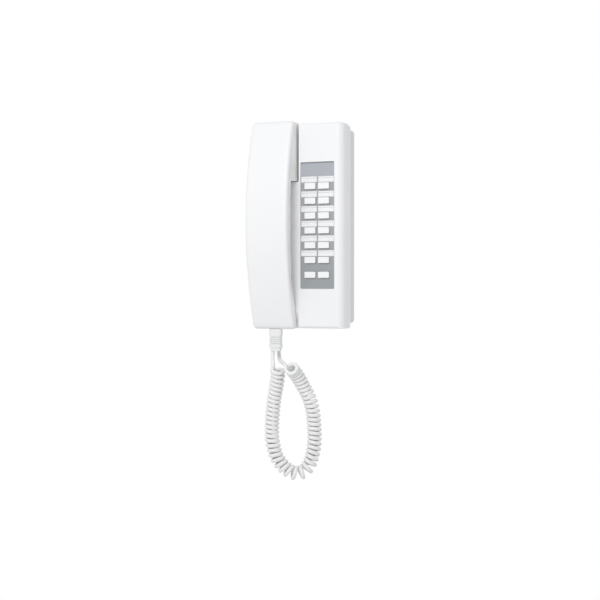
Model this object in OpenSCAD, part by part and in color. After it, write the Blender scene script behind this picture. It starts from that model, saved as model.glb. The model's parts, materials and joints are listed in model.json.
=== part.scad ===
// Wall intercom station: a base with a key panel, a handset in its cradle and a curly cord.
// Millimetres. X runs to the right, Z runs up, and depth runs from the wall into the room, along -Y.
// The origin is the middle of the base's outline, in the plane of the wall.

/* [Base] */
// Height of the base
base_h = 225; // [222:1:240]
// Width of the base
base_w = 105; // [102:1:115]
// Depth from the wall to the cover's front plane
front_depth = 40; // [39:0.5:46]
// Depth from the wall to the rim where the cover meets the rear case
rim_depth = 24; // [22:0.5:25]
// Wall of the cover
wall = 2.5; // [2.2:0.1:2.8]
// Radius of the cover's upper corners, seen from the front
cover_corner_r = 7.5; // [5:0.5:10]
// Radius of the cover's lower corners, seen from the front
cover_foot_r = 3; // [2.8:0.1:6]
// Slope of the cover's sides from square, in degrees
cover_draft = 15; // [12:0.5:16]
// Rounding of the cover's upright front edges
cover_edge_r = 8; // [5:0.5:8.5]
// Rounding of the cover's top and bottom front edges
cover_end_r = 3.2; // [3:0.1:5]
// Step from the cover's side to the rear case's side
case_side_step = 4.5; // [4:0.1:6]
// Step from the cover's end to the rear case's end
case_end_step = 5.3; // [4:0.1:7]
// Wall of the rear case
case_wall = 2.2; // [1.8:0.1:2.5]
// Corner radius of the rear case
case_corner_r = 4; // [3:0.5:6]
// Hollow behind the rear case's floor, which takes the wall bracket
back_hollow = 4.5; // [4:0.1:6]
// Height of the rear case's spigot inside the cover
spigot_h = 3; // [2:0.1:3.4]

/* [Cradle] */
// Height of the ledge that the ear block hangs on, above the base's middle
ledge_z = 48.5; // [45:0.5:52]
// Rounding of the upper recess's lower corner
recess_corner_r = 1.5; // [1:0.1:2]
// Thickness of the upper recess's floor
recess_floor_t = 2; // [1.6:0.1:2.4]
// Height of the lower ramp, from the base's lower edge to where it meets the front plane
ramp_h = 18; // [15:0.5:22]
// Slope of the lower ramp from upright, in degrees
ramp_angle = 17.5; // [15:0.5:18.5]
// Gap between the handset's side and the recess's right wall
cradle_gap = 2.3; // [1.5:0.1:3]

/* [Handset] */
// Length of the handset
handset_l = 228.5; // [222:0.5:234]
// Width of the handset at its middle
handset_w = 50; // [46:0.5:51]
// Overhang of the handset past the base's left edge
handset_over = 2; // [0:0.1:3]
// Overhang of the handset past the base's lower edge
handset_drop = 1; // [0:0.1:3]
// Depth of the finger gap under the grip
finger_gap = 15.5; // [12:0.5:20]
// Thickness of the grip at its middle
grip_t = 13; // [12:0.5:16]
// Radius of the bowed front
bow_r = 340; // [300:5:500]
// Height of the bow's crown
bow_z = 4; // [0:1:15]
// Narrowing of each side at the top end
top_taper = 0.5; // [0:0.1:3]
// Narrowing of each side at the bottom end
bottom_taper = 0.5; // [0:0.1:3]
// Rounding of the handset's long front edges
handset_front_r = 3.5; // [3:0.5:6]
// Rounding of the handset's long rear edges
handset_rear_r = 3; // [2:0.5:4]
// Rounding of the handset's ends
handset_end_r = 4; // [2.5:0.1:5]
// Wall of the handset's shells
handset_wall = 2.2; // [1.8:0.1:2.4]
// Depth of the front shell, from its front to the parting line
split_t = 8; // [7.5:0.1:9]
// Length of the mouthpiece, from the handset's lower end
mouth_l = 55.5; // [50:0.5:60]
// Length of the step from the grip to the mouthpiece
mouth_blend = 11; // [8:1:16]
// Gap between the mouthpiece and the ramp
mouth_gap = 1.2; // [0.8:0.1:2]
// Gap between the ear block and the ledge
seat_gap = 0.8; // [0.4:0.1:1]
// Gap between the ear block and the recess floor
ear_gap = 1; // [0.7:0.1:1.5]
// Distance from the handset's top to the middle of the earpiece
ear_drop = 32; // [28:0.5:36]
// Diameter of the earpiece capsule
ear_d = 35; // [30:0.5:36]
// Distance from the handset's lower end to the middle of the microphone
mic_rise = 21.5; // [19:0.5:28]
// Diameter of the microphone's rubber holder
mic_holder_d = 10; // [9:0.5:11]
// Diameter of the microphone capsule
mic_d = 6.8; // [6:0.1:7]

/* [Keys] */
// Height of the key panel
panel_h = 138.6; // [136:0.2:142]
// Width of the key panel
panel_w = 39.6; // [39:0.2:42]
// Thickness of the key panel
panel_t = 1; // [0.9:0.1:1.2]
// Depth of the panel's face below the front plane
panel_drop = 0.5; // [0.3:0.1:0.6]
// Margin from the recess's wall to the panel
panel_margin = 2.2; // [1.5:0.1:4]
// Height of the panel's middle above the base's middle
panel_rise = 0.4; // [-2:0.2:2]
// Width of a key
key_w = 12.6; // [10:0.2:13]
// Height of a key
key_h = 6.8; // [6:0.1:7]
// Spacing of the two key columns
key_pitch_x = 16; // [15.4:0.1:17]
// Spacing of the key rows
key_pitch_z = 16.2; // [15.6:0.1:16.6]
// Distance from the panel's top to the middle of the first key row
key_drop = 26.2; // [25:0.1:27]
// Height of a key's face above the panel's face
key_proud = 2.4; // [1.8:0.1:3]
// Travel of a key
key_travel = 1.3; // [1:0.1:1.4]
// Gap around a key
key_gap = 0.25; // [0.2:0.05:0.3]
// Height of a label window
label_h = 6.8; // [5:0.1:6.9]
// Distance from the middle of a key up to the middle of its label
label_rise = 7.4; // [7.3:0.1:7.8]
// Width of the bar between the two windows of a row
label_bar = 1.1; // [0.9:0.1:3]
// Thickness of a label window
window_t = 0.7; // [0.6:0.05:0.9]

/* [Electrics] */
// Thickness of the circuit board
board_t = 1.6; // [1.2:0.1:2]
// Height of the circuit board
board_h = 176; // [170:1:178]
// Height of a key switch above the board
switch_h = 3.4; // [3:0.1:3.8]
// Diameter of the call speaker
speaker_d = 25; // [22:1:25]
// Depth of the call speaker
speaker_t = 15; // [12:0.5:16]
// Travel of the hook plunger
hook_travel = 3; // [2:0.1:3.5]
// Diameter of the hook plunger's stem
hook_d = 5; // [4:0.1:6]

/* [Wall bracket] */
// Spacing of the two wall screws
wall_screw_pitch = 83.5; // [80:0.5:90]
// Diameter of the wall-screw holes
wall_screw_d = 4.4; // [4:0.1:5.5]
// Thickness of the bracket
bracket_t = 1.2; // [1:0.1:1.5]
// Width of the bracket
bracket_w = 64; // [60:1:70]
// Height of the bracket
bracket_h = 116; // [112:1:124]

/* [Cord] */
// Diameter of the cord
cord_d = 4.2; // [3.8:0.1:4.2]
// Outer diameter of the curls
curl_d = 16.4; // [15.6:0.1:16.8]
// Number of curls
curl_count = 49; // [40:1:49]
// Widening of the curls' spacing round the bottom of the loop
curl_spread = 0.03; // [0.01:0.01:0.05]
// Width of the cord boot
boot_w = 14.8; // [13:0.2:16]
// Depth of the cord boot
boot_t = 7.5; // [6.5:0.1:8.5]
// Length of the cord boot
boot_l = 24.5; // [20:0.25:26]

/* [Hidden] */
$fn = 48;

// Clearance between pieces that are fitted together
fit = 0.3;
// Overshoot of a cut past the face that it opens
cut = 1;

// Screws: shaft, the hole that it bites into, the hole that it passes through, and the head
screw_d = 2.6;
screw_bite_d = 2.9;
screw_pass_d = 3.2;
screw_head_d = 5.4;
screw_head_t = 1.8;
screw_grip = 10;
post_d = 7;

// The line along the cover's sides
groove_depth = 27.4;
groove_w = 1.2;
groove_dip = 0.8;

// The cradle and the handset's place in it
handset_x = -base_w / 2 - handset_over + handset_w / 2;
recess_x = handset_x + handset_w / 2 + cradle_gap;
floor_depth = rim_depth + recess_floor_t;
ramp_z = -base_h / 2 + ramp_h;
handset_bottom = -base_h / 2 - handset_drop;
handset_top = handset_bottom + handset_l;
mouth_z = handset_bottom + mouth_l;
ear_z = handset_top - ear_drop;
mic_z = handset_bottom + mic_rise;
grip_rear = front_depth + finger_gap;
bow_depth = grip_rear + grip_t;
slab_t = grip_t - 1;
ear_depth = floor_depth + ear_gap;
ear_bevel = 2;
ear_low = ledge_z + seat_gap;
arc_steps = 4;

// The rear case
case_w = base_w - 2 * case_side_step;
case_h = base_h - 2 * case_end_step;
floor_front = back_hollow + case_wall;
post_x = base_w / 2 - 13;
post_z = base_h / 2 - 15;

// The key panel
panel_x = recess_x + panel_margin + panel_w / 2;
panel_face = front_depth - panel_drop;
panel_corner_r = 1.2;
key_count = 14;
call_keys = 12;
key_face = panel_face + key_proud;
key_flange = 1;
key_flange_t = 1;
key_flange_front = front_depth - wall - fit;
key_tip_d = 3.3;
key_tip_dip = 0.6;
label_t = 0.2;
label_edge = 0.3;
label_pocket = 0.5;
label_gap = 0.05;
label_w = (panel_w - label_bar) / 2 - label_edge;

// The circuit board
board_gap = 0.7;
board_front = key_flange_front - key_flange_t - key_travel - fit - switch_h;
board_x0 = recess_x + wall + board_gap;
board_x1 = base_w / 2 - wall - lean(board_front) - 2 * board_gap;
board_back = board_front - board_t;
board_post_in = 5;
board_post_z = board_h / 2 - 8;
switch_w = 6;
switch_bore_d = 3.9;
switch_bore = switch_h - 0.8;
key_tip_depth = board_front + switch_h - key_tip_dip;

// The hook plunger
hook_z = ledge_z + 10;
hook_tip = ear_depth - fit;
hook_flange_d = 9.4;
hook_flange_t = 1.6;
hook_flange_front = rim_depth - fit - hook_travel;
hook_flange_back = hook_flange_front - hook_flange_t;
hook_tail_d = 3;
hook_guide_d = 10;
hook_guide_front = floor_front + 5.3;
hook_tail_back = floor_front + 1.3;
hook_arm_w = 4;
hook_arm_l = 10;
spring_d = 7.4;
spring_wire = 0.8;
spring_turns = 4;

// Hooks of the wall bracket
hook_leg_w = 8;
hook_leg_x = 24;
hook_leg_in = 18;
hook_leg_z = [bracket_h / 2 - hook_leg_in, hook_leg_in - bracket_h / 2];
hook_finger = 6;

// The cord's ends, in the boot's nose and in the bush's nose
boot_x = handset_x + 0.8;
boot_flange_z = handset_bottom + handset_wall + fit;
boot_depth = (rear(boot_flange_z) + bow(boot_flange_z)) / 2;
boot_end = [boot_x - 3.9, -boot_depth, handset_bottom - boot_l];
boot_straight = [0, 0, -4];
bush_x = handset_x - 9.5;
bush_depth = 15;
bush_nose = 8.8;
bush_end = [bush_x, -bush_depth, -case_h / 2 - bush_nose];
bush_straight = [0, 0, -5];

// Where the straight leads run, and the line down the middle of the curls, from the handset's lower end
cord_place = [handset_x, 0, handset_bottom];
handset_lead_route = concat([boot_end, boot_end + boot_straight], placed([
    [-3.2, -42.5, -31.5],
    [-3, -43, -33.5],
    [-2.5, -43.5, -35.5]
]));
base_lead_route = concat([bush_end, bush_end + bush_straight], placed([
    [-8.5, -16.5, -15.5],
    [-6.5, -20, -22.5],
    [-3.5, -24.5, -28.5],
    [-2, -27, -31.5]
]));
curl_route = placed([
    [5.5, -48, -44.5],
    [4, -44.5, -52.5],
    [1, -42, -64.5],
    [-2.5, -40, -79.5],
    [-5, -39, -98.5],
    [-6, -38, -117.5],
    [-4.5, -37.4, -131],
    [0, -36.4, -144.5],
    [7.5, -34.7, -154],
    [16.5, -32.6, -159.8],
    [25.5, -30.5, -159.8],
    [33, -28.8, -154],
    [37.5, -27.3, -143],
    [39.5, -25.6, -131.5],
    [39.8, -24.5, -119],
    [39, -24, -105],
    [37.5, -24.5, -90.5],
    [34.5, -26.5, -77.5],
    [29.5, -31, -64.5],
    [26, -38.5, -53],
    [24, -46.5, -46],
    [24, -54, -42]
]);
curl_start = [-1, 0, 0];
curl_end_turn = 0.625;
curl_ease = 1.05;
curl_rings = 8;
curl_sides = 6;
lead_sides = 8;
route_steps = 8;
bend_reach = 3;
lead_steps = 2;
turn_in_steps = 5;
turn_in_reach = 4.5;

// Names and places of the keys, row by row from the top left
function key_name(i) = i < call_keys
    ? str("call_key_", i < 9 ? "0" : "", i + 1)
    : str("function_key_", i - call_keys + 1);
function key_x(i) = panel_x + (i % 2 - 0.5) * key_pitch_x;
function key_z(i) = panel_rise + panel_h / 2 - key_drop - floor(i / 2) * key_pitch_z;
function label_x(i) = panel_x + (i % 2 - 0.5) * (label_bar + label_w);
function label_z(i) = key_z(i) + label_rise;

// How far the cover's sides lean in at a depth past the rim
function lean(depth) = (depth - rim_depth) * tan(cover_draft);

// Heights and depths of the cradle and the handset
function ramp(z) = front_depth - (ramp_z - z) * tan(ramp_angle);
function bow(z) = bow_depth - bow_r + sqrt(bow_r * bow_r - (z - bow_z) * (z - bow_z));
function smooth(t) = let (c = min(max(t, 0), 1)) c * c * (3 - 2 * c);
function taper(z) = z > bow_z
    ? top_taper * pow((z - bow_z) / (handset_top - bow_z), 2)
    : bottom_taper * pow((bow_z - z) / (bow_z - handset_bottom), 2);
function half_width(z) = handset_w / 2 - taper(z);
function grip_back(z) = min(grip_rear, bow(z) - slab_t);
function mouth_back(z) = ramp(z) + mouth_gap;
function rear(z) = let (m = mouth_back(z)) m + (grip_back(z) - m) * smooth((z - mouth_z) / mouth_blend);

// A list of heights from one to the other, in equal steps
function heights(z0, z1, steps) = [for (i = [0:steps]) i < steps ? z0 + (z1 - z0) * i / steps : z1];

// The handset's outline at one height, drawn in on all sides by inset, with its rear at a given depth
function outline(z, inset, back) =
    let (h = half_width(z) - inset)
    let (f = bow(z) - inset)
    let (b = back + inset)
    [for (corner = [0:3], k = [0:arc_steps])
        let (front = corner < 2)
        let (r = max((front ? handset_front_r : handset_rear_r) - inset, 0.4))
        let (side = corner == 0 || corner == 3 ? 1 : -1)
        let (a = 90 * (corner + k / arc_steps))
        [handset_x + side * (h - r) + r * cos(a), -(front ? f - r : b + r) - r * sin(a), z]];

// Such outlines along the mouthpiece and the grip, and along the ear block
function grip_slice(z, inset) = outline(z, inset, rear(z));
function ear_slice(z, inset) =
    outline(z, inset, ear_depth + max(ear_bevel - (z - inset - ear_low), 0));

// Vectors and curves for the cord
function placed(route) = [for (p = route) p + cord_place];
function unit(v) = v / norm(v);
function mix(a, b, t) = a + (b - a) * t;
function last(list) = list[len(list) - 1];
function catmull(a, b, c, d, t) =
    (2 * b + (c - a) * t + (2 * a - 5 * b + 4 * c - d) * t * t + (3 * b - a - 3 * c + d) * t * t * t) / 2;
function spline(route, steps) =
    let (n = len(route) - 1)
    let (q = concat([2 * route[0] - route[1]], route, [2 * route[n] - route[n - 1]]))
    concat(
        [for (i = [0:n - 1], k = [0:steps - 1]) catmull(q[i], q[i + 1], q[i + 2], q[i + 3], k / steps)],
        [route[n]]
    );
function bezier(p0, p1, p2, p3, steps) =
    [for (i = [1:steps - 1])
        let (t = i / steps)
        let (u = 1 - t)
        u * u * u * p0 + 3 * u * u * t * p1 + 3 * u * t * t * p2 + t * t * t * p3];
function tangents(path) =
    let (n = len(path) - 1)
    [for (i = [0:n]) unit(path[min(i + 1, n)] - path[max(i - 1, 0)])];
function across_line(v, along) = unit(v - along * (v * along));
function normals(along, first) =
    [for (i = 0, v = across_line(first, along[0]);
        i < len(along);
        i = i + 1, v = i < len(along) ? across_line(v, along[i]) : v) v];
function running_sum(steps) =
    [for (i = 0, s = 0; i <= len(steps); i = i + 1, s = s + (i <= len(steps) ? steps[i - 1] : 0)) s];

// Spacing of the curls along the loop: close in the upper legs, wider round the bottom and on the bends
function curl_open(u) = 1 + curl_spread * smooth((u - 0.12) / 0.2) * smooth((0.86 - u) / 0.18);
function bend(along, run, i) =
    let (a = max(i - bend_reach, 0))
    let (b = min(i + bend_reach, len(along) - 1))
    norm(along[b] - along[a]) / (run[b] - run[a]);

// The helix of the curls, ring by ring
function curl_helix() =
    let (axis = spline(curl_route, route_steps))
    let (along = tangents(axis))
    let (side = normals(along, curl_start))
    let (n = len(axis) - 1)
    let (lengths = [for (i = [0:n - 1]) norm(axis[i + 1] - axis[i])])
    let (run = running_sum(lengths))
    let (r = (curl_d - cord_d) / 2)
    let (weights = [for (i = [0:n - 1])
        lengths[i] * (1 - curl_ease * r * bend(along, run, i)) / curl_open(run[i] / run[n])])
    let (turns = running_sum(weights) * ((curl_count + curl_end_turn) / running_sum(weights)[n]))
    let (index = [for (i = [0:n]) [turns[i], i]])
    [for (k = [0:floor((curl_count + curl_end_turn) * curl_rings)])
        let (at = min(lookup(k / curl_rings, index), n - 0.001))
        let (i = floor(at))
        let (t = at - i)
        let (forward = unit(mix(along[i], along[i + 1], t)))
        let (out = across_line(mix(side[i], side[i + 1], t), forward))
        let (a = -360 * k / curl_rings)
        mix(axis[i], axis[i + 1], t) + r * (cos(a) * out + sin(a) * cross(forward, out))];

// A lead's middle line, with its first and last stretches straight
function lead_path(route) =
    let (n = len(route) - 1)
    concat([route[0]], spline([for (i = [1:n - 1]) route[i]], lead_steps), [route[n]]);

// A bend from the end of a straight lead into the first or last curl
function turn_in(from, heading, to, arriving) =
    bezier(from, from + heading * turn_in_reach, to - arriving * turn_in_reach, to, turn_in_steps);

// The curly cord's middle line: a straight end, the curls, and a straight end
function curl_path() =
    let (helix = curl_helix())
    let (n = len(helix) - 1)
    let (a = last(handset_lead_route))
    let (down = unit(a - handset_lead_route[len(handset_lead_route) - 2]))
    let (b = last(base_lead_route))
    let (up = unit(base_lead_route[len(base_lead_route) - 2] - b))
    let (a1 = a + down * cord_d)
    let (b1 = b - up * cord_d)
    concat(
        [a, a1],
        turn_in(a1, down, helix[0], unit(helix[1] - helix[0])),
        helix,
        turn_in(helix[n], unit(helix[n] - helix[n - 1]), b1, up),
        [b1, b]
    );

// Least distance between the skins of stretches of a path that lie a curl or so apart
function least_gap(path, apart) =
    min([for (i = [0:len(path) - 1 - apart])
        min([for (j = [i + apart:len(path) - 1]) norm(path[i] - path[j])])]) - cord_d;

// Places a flat drawing in X and Z between two depths
module slab(d0, d1) {
    translate([0, -d0, 0])
        rotate([90, 0, 0])
            linear_extrude(d1 - d0)
                children();
}

// Places a flat drawing in depth and Z between two places along X
module across(x0, x1) {
    translate([x1, 0, 0])
        rotate([90, 0, -90])
            linear_extrude(x1 - x0)
                children();
}

// Places a flat drawing in X and depth between two heights
module upright(z0, z1) {
    translate([0, 0, z0])
        linear_extrude(z1 - z0)
            mirror([0, 1])
                children();
}

// A round bar along the depth
module peg(x, z, d0, d1, d) {
    translate([x, -d0, z])
        rotate([90, 0, 0])
            cylinder(h = d1 - d0, d = d);
}

// A square-edged block between two corners, with the depth counted from the wall
module block(x0, x1, d0, d1, z0, z1) {
    translate([x0, -d1, z0])
        cube([x1 - x0, d1 - d0, z1 - z0]);
}

// A centred rectangle with rounded corners
module rounded(w, h, r) {
    square([w - 2 * r, h], center = true);
    square([w, h - 2 * r], center = true);
    for (sx = [-1, 1], sy = [-1, 1])
        translate([sx * (w / 2 - r), sy * (h / 2 - r)])
            circle(r);
}

// A span by depth outline with its sides sloped in from the rim on and its two front corners rounded
module front_rounded(span, depth, r, slope) {
    middle_d = depth - r;
    middle_x = span / 2 - (r + sin(slope) * (middle_d - rim_depth)) / cos(slope);
    side_x = middle_x + r * cos(slope);
    side_d = middle_d + r * sin(slope);
    polygon([
        [-span / 2, 0],
        [span / 2, 0],
        [span / 2, rim_depth],
        [side_x, side_d],
        [middle_x, depth],
        [-middle_x, depth],
        [-side_x, side_d],
        [-span / 2, rim_depth]
    ]);
    for (side = [-1, 1])
        translate([side * middle_x, middle_d])
            circle(r);
}

// A pan-head screw that points into the room
module screw(x, z, seat, grip) {
    peg(x, z, seat - screw_head_t, seat, screw_head_d);
    peg(x, z, seat, seat + grip, screw_d);
}

// A tube of flat-sided rings along a path, closed at both ends
module tube(path, d, sides) {
    n = len(path);
    along = tangents(path);
    out = normals(along, abs(along[0].x) < 0.9 ? [1, 0, 0] : [0, 1, 0]);
    points = [for (i = [0:n - 1], k = [0:sides - 1])
        let (a = 360 * k / sides)
        path[i] + d / 2 * (cos(a) * out[i] + sin(a) * cross(along[i], out[i]))];
    skin = [for (i = [0:n - 2], k = [0:sides - 1], half = [0, 1])
        let (a = i * sides + k)
        let (b = i * sides + (k + 1) % sides)
        half == 0 ? [a, b + sides, b] : [a, a + sides, b + sides]];
    caps = [for (k = [1:sides - 2], end = [0, 1])
        let (s = (n - 1) * sides)
        end == 0 ? [0, k, k + 1] : [s, s + k + 1, s + k]];
    polyhedron(points, concat(skin, caps));
}

// The form round a set of points
module wrap(points) {
    hull()
        polyhedron(points, [for (i = [0:len(points) - 3]) [i, i + 1, i + 2]]);
}

// The form through a row of slices, one pair after another
module loft(slices) {
    for (i = [0:len(slices) - 2])
        wrap(concat(slices[i], slices[i + 1]));
}

// The cover's outline, drawn in by inset, with its lower corners tighter than its upper ones
module cover_outline(inset) {
    w = base_w - 2 * inset;
    h = base_h - 2 * inset;
    rounded(w, h, cover_corner_r - inset);
    translate([0, -h / 4])
        rounded(w, h / 2, cover_foot_r - inset);
}

// The cover's outside, drawn in by inset and starting at depth d0
module cover_form(inset, d0) {
    intersection() {
        slab(d0, front_depth - inset)
            cover_outline(inset);
        upright(-base_h, base_h)
            front_rounded(base_w - 2 * inset, front_depth - inset, cover_edge_r - inset, cover_draft);
        across(-base_w, base_w)
            rotate(-90)
                front_rounded(base_h - 2 * inset, front_depth - inset, cover_end_r - inset, 0);
    }
}

// The space that the ear block hangs in, down to a given depth and larger by grow
module upper_recess(grow, depth) {
    r = recess_corner_r + grow;
    slab(depth, front_depth + base_w) {
        translate([-base_w, ledge_z - grow])
            square([base_w + recess_x + grow - r, base_h]);
        translate([-base_w, ledge_z - grow + r])
            square([base_w + recess_x + grow, base_h]);
        translate([recess_x + grow - r, ledge_z - grow + r])
            circle(r);
    }
}

// The space above the ramp that the mouthpiece lies on, larger by grow
module lower_recess(grow) {
    far = front_depth + finger_gap;
    back = grow / cos(ramp_angle);
    across(-base_w, recess_x + grow)
        polygon([
            [ramp(-base_h) - back, -base_h],
            [far, -base_h],
            [far, ramp_z + (far - front_depth + back) / tan(ramp_angle)]
        ]);
}

module front_cover() {
    color("white")
        difference() {
            union() {
                difference() {
                    cover_form(0, rim_depth);
                    difference() {
                        cover_form(wall, rim_depth - cut);
                        upper_recess(wall, floor_depth - wall);
                        lower_recess(wall);
                    }
                }
                for (sx = [-1, 1], sz = [-1, 1])
                    peg(sx * post_x, sz * post_z, floor_front, front_depth - wall / 2, post_d);
                board_posts(board_front, post_d);
            }
            upper_recess(0, floor_depth);
            lower_recess(0);
            slab(panel_face - panel_t, front_depth + cut)
                translate([panel_x, panel_rise])
                    rounded(panel_w + fit, panel_h + fit, panel_corner_r);
            key_openings(front_depth - wall - cut, front_depth);
            speaker_slots();
            peg(handset_x, hook_z, rim_depth - cut, floor_depth + cut, hook_d + 2 * fit);
            for (sx = [-1, 1], sz = [-1, 1])
                peg(sx * post_x, sz * post_z, floor_front - cut, floor_front + screw_grip + cut,
                    screw_bite_d);
            board_screw_holes();
            for (side = [0, 1])
                mirror([side, 0, 0])
                    block(base_w / 2 - lean(groove_depth) - groove_dip, base_w,
                        groove_depth - groove_w / 2, groove_depth + groove_w / 2, -base_h, base_h);
        }
}

// The posts that carry the circuit board, from a given depth to the cover's front
module board_posts(depth, d) {
    for (x = [board_x0 + board_post_in, board_x1 - board_post_in], sz = [-1, 1])
        peg(x, sz * board_post_z, depth, front_depth - wall / 2, d);
}

module board_screw_holes() {
    for (x = [board_x0 + board_post_in, board_x1 - board_post_in], sz = [-1, 1])
        peg(x, sz * board_post_z, board_back - cut, board_front + screw_grip / 2 + cut, screw_bite_d);
}

// The openings that the keys pass through
module key_openings(d0, d1) {
    slab(d0, d1)
        for (i = [0:key_count - 1])
            translate([key_x(i), key_z(i)])
                square([key_w + 2 * key_gap, key_h + 2 * key_gap], center = true);
}

// The slots in front of the call speaker
module speaker_slots() {
    slot_h = 2.2;
    slot_pitch = 4.2;
    reach = speaker_d / 2 - 3;
    pairs = floor((reach - slot_h / 2) / slot_pitch);
    slab(front_depth - wall - cut, front_depth + cut)
        for (i = [-pairs:pairs])
            translate([handset_x, i * slot_pitch])
                rounded(2 * sqrt(reach * reach - pow(i * slot_pitch, 2)), slot_h, slot_h / 2 - 0.01);
}

module rear_case() {
    entry_w = 30;
    entry_h = 44;
    spigot_w = 2 * (base_w / 2 - wall - fit - lean(rim_depth + spigot_h));
    spigot_l = base_h - 2 * wall - 2 * fit;
    color("whitesmoke")
        difference() {
            union() {
                slab(0, rim_depth)
                    rounded(case_w, case_h, case_corner_r);
                slab(rim_depth, rim_depth + spigot_h)
                    rounded(spigot_w, spigot_l, cover_corner_r - wall - fit);
            }
            slab(-cut, back_hollow)
                rounded(case_w - 2 * case_wall, case_h - 2 * case_wall, case_corner_r - case_wall);
            difference() {
                slab(floor_front, rim_depth + spigot_h + cut)
                    rounded(case_w - 2 * case_wall, case_h - 2 * case_wall, case_corner_r - case_wall);
                peg(handset_x, hook_z, floor_front - cut, hook_guide_front, hook_guide_d);
            }
            upper_recess(wall + fit, rim_depth);
            peg(handset_x, hook_z, floor_front + fit, hook_guide_front + cut, hook_tail_d + 2 * fit);
            for (sx = [-1, 1], sz = [-1, 1])
                peg(sx * post_x, sz * post_z, back_hollow - cut, floor_front + cut, screw_pass_d);
            slab(back_hollow - cut, floor_front + cut) {
                rounded(entry_w, entry_h, case_corner_r);
                for (sx = [-1, 1], z = hook_leg_z)
                    translate([sx * hook_leg_x, z + bracket_t + fit / 2 - (hook_finger + 2 * fit) / 2])
                        square([hook_leg_w + 2 * cut, hook_finger + 2 * fit], center = true);
            }
            translate([bush_x, -bush_depth, -case_h / 2 - cut])
                cylinder(h = case_wall + 2 * cut, d = bush_neck_d + fit);
        }
}

module wall_bracket() {
    entry_w = 34;
    entry_h = 50;
    color("silver")
        difference() {
            union() {
                slab(0, bracket_t)
                    rounded(bracket_w, bracket_h, case_corner_r);
                for (sx = [-1, 1], z = hook_leg_z)
                    translate([sx * hook_leg_x, 0, 0])
                        bracket_hook(z);
            }
            slab(-cut, bracket_t + cut)
                rounded(entry_w, entry_h, case_corner_r);
            for (sz = [-1, 1])
                peg(0, sz * wall_screw_pitch / 2, -cut, bracket_t + cut, wall_screw_d);
        }
}

// A leg out of the bracket with a finger that rises behind the rear case's floor
module bracket_hook(z) {
    finger_back = floor_front + fit / 2;
    block(-hook_leg_w / 2, hook_leg_w / 2, bracket_t / 2, finger_back + bracket_t, z, z + bracket_t);
    block(-hook_leg_w / 2, hook_leg_w / 2, finger_back, finger_back + bracket_t, z, z + hook_finger);
}

module key_panel() {
    color("darkgray")
        difference() {
            slab(panel_face - panel_t, panel_face)
                translate([panel_x, panel_rise])
                    rounded(panel_w, panel_h, panel_corner_r);
            key_openings(panel_face - panel_t - cut, panel_face + cut);
            slab(panel_face - label_pocket, panel_face + cut)
                label_places(label_w, label_h);
        }
}

// The two windows over each row of call keys
module label_places(w, h) {
    for (i = [0:call_keys - 1])
        translate([label_x(i), label_z(i)])
            square([w, h], center = true);
}

module name_labels() {
    color("ivory")
        slab(panel_face - label_pocket, panel_face - label_pocket + label_t)
            label_places(label_w - fit, label_h - fit);
}

module label_windows() {
    seat = panel_face - label_pocket + label_t + label_gap;
    color("lightcyan", 0.5)
        slab(seat, seat + window_t)
            label_places(label_w - fit, label_h - fit);
}

module key(i) {
    key_corner_r = 0.8;
    color("snow")
        translate([key_x(i), 0, key_z(i)]) {
            slab(key_flange_front - key_flange_t, key_face)
                rounded(key_w, key_h, key_corner_r);
            slab(key_flange_front - key_flange_t, key_flange_front)
                rounded(key_w + 2 * key_flange, key_h + 2 * key_flange, key_corner_r);
            peg(0, 0, key_tip_depth, key_flange_front - key_flange_t / 2, key_tip_d);
        }
}

module main_board() {
    board_w = board_x1 - board_x0;
    color("seagreen")
        difference() {
            slab(board_back, board_front)
                translate([(board_x0 + board_x1) / 2, 0])
                    rounded(board_w, board_h, 2);
            board_screw_holes();
        }
}

// One switch under each key, open where the key's tip dips in
module key_switches() {
    color("dimgray")
        for (i = [0:key_count - 1])
            difference() {
                slab(board_front, board_front + switch_h)
                    translate([key_x(i), key_z(i)])
                        square(switch_w, center = true);
                peg(key_x(i), key_z(i), board_front + switch_h - switch_bore, board_front + switch_h + cut,
                    switch_bore_d);
            }
}

// Parts on the rear of the board: a processor, a relay, a wire header and two capacitors
module board_parts() {
    middle = (board_x0 + board_x1) / 2;
    chip_w = 14;
    chip_t = 2;
    relay_w = 12;
    relay_l = 18;
    relay_t = 10;
    header_w = 22;
    header_l = 6;
    header_t = 8;
    capacitor_d = 8;
    capacitor_l = 11;
    relay_z = board_h / 2 - 48;
    header_z = 28 - board_h / 2;
    capacitor_z = 48 - board_h / 2;
    color("dimgray") {
        block(middle - chip_w / 2, middle + chip_w / 2, board_back - chip_t, board_back, -chip_w, chip_w);
        block(middle - relay_w / 2, middle + relay_w / 2, board_back - relay_t, board_back,
            relay_z, relay_z + relay_l);
        block(middle - header_w / 2, middle + header_w / 2, board_back - header_t, board_back,
            header_z, header_z + header_l);
        for (side = [-1, 1])
            peg(middle + side * capacitor_d, capacitor_z, board_back - capacitor_l, board_back, capacitor_d);
    }
}

// Values shared by the terminal block and its screws
terminal_ways = 6;
terminal_pitch = 5;
terminal_rise = 43;
terminal_z = terminal_rise - case_h / 2;
terminal_h = 12;
terminal_t = 10;
terminal_x = handset_x + 2;
terminal_screw_d = 3.6;
terminal_screw_t = 1;

module terminal_block() {
    half = terminal_ways * terminal_pitch / 2;
    color("darkslategray")
        difference() {
            block(terminal_x - half, terminal_x + half, floor_front, floor_front + terminal_t,
                terminal_z - terminal_h / 2, terminal_z + terminal_h / 2);
            for (i = [0:terminal_ways - 1])
                peg(terminal_way_x(i), terminal_z, floor_front + terminal_t - terminal_screw_t,
                    floor_front + terminal_t + cut, terminal_screw_d + fit);
        }
}

function terminal_way_x(i) = terminal_x + (i + 0.5 - terminal_ways / 2) * terminal_pitch;

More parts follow.
